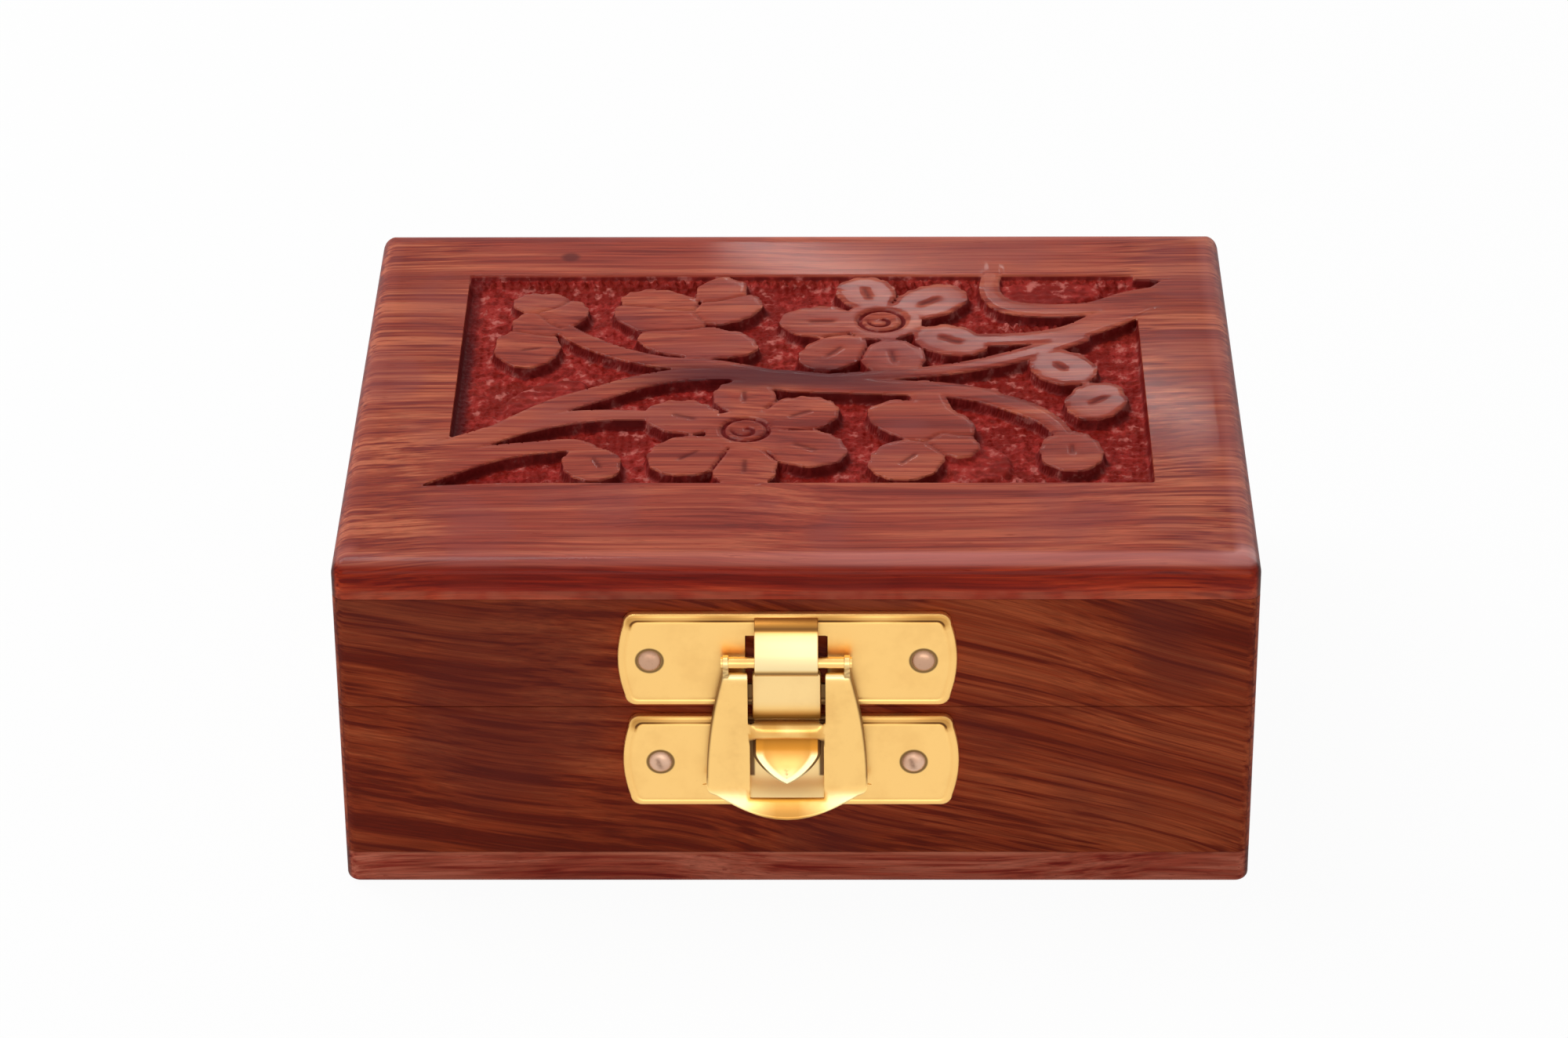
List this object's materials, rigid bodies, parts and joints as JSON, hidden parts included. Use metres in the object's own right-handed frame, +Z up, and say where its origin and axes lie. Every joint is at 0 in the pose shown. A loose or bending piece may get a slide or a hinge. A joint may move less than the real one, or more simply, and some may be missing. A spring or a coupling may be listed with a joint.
{
  "type": "wooden storage box",
  "caption": "Small hinged hardwood box with a flower carving sunk into its lid and a brass hasp clasp on the front.",
  "frame": {"origin": "centre of the underside, on the surface that the box stands on", "axes": "+X to the right seen from the clasp side, +Y from the clasp side to the hinges, +Z up"},
  "size_m": [0.102, 0.084, 0.042],
  "materials": {
    "wood": "satin waxed dark red-brown hardwood with straight streaked grain",
    "carved_wood": "satin warm red-brown hardwood, with the sunk ground punched and darker",
    "brass": "polished pressed brass",
    "nail_steel": "dull steel nail heads that pick up the brass colour",
    "velvet": "dark red short-pile velvet"
  },
  "bodies": {
    "base": {"bottom_board": "wood", "base_front_wall": "wood", "base_back_wall": "wood", "base_left_wall": "wood", "base_right_wall": "wood", "floor_lining": "velvet", "catch_plate": "brass", "catch_plate_nail_left": "nail_steel", "catch_plate_nail_right": "nail_steel", "left_hinge_pin": "brass", "left_hinge_base_leaf": "brass", "left_hinge_base_nail_outer": "brass", "left_hinge_base_nail_inner": "brass", "right_hinge_pin": "brass", "right_hinge_base_leaf": "brass", "right_hinge_base_nail_outer": "brass", "right_hinge_base_nail_inner": "brass"},
    "lid": {"carved_top_board": "carved_wood", "lid_front_wall": "wood", "lid_back_wall": "wood", "lid_left_wall": "wood", "lid_right_wall": "wood", "left_hinge_lid_leaf": "brass", "left_hinge_lid_nail_outer": "brass", "left_hinge_lid_nail_inner": "brass", "right_hinge_lid_leaf": "brass", "right_hinge_lid_nail_outer": "brass", "right_hinge_lid_nail_inner": "brass", "hasp_plate": "brass", "hasp_plate_nail_left": "nail_steel", "hasp_plate_nail_right": "nail_steel", "hasp_wire": "brass"},
    "hasp": {"hasp": "brass"}
  },
  "joints": [
    {"name": "lid_hinge", "type": "hinge", "parent": "base", "child": "lid", "pos_m": [0, 0.0383, 0.02355], "axis": [-1, 0, 0], "range_deg": [0, 98]},
    {"name": "hasp_hinge", "type": "hinge", "parent": "lid", "child": "hasp", "pos_m": [-0.00105, -0.04225, 0.0307], "axis": [-1, 0, 0], "range_deg": [0, 165]}
  ]
}
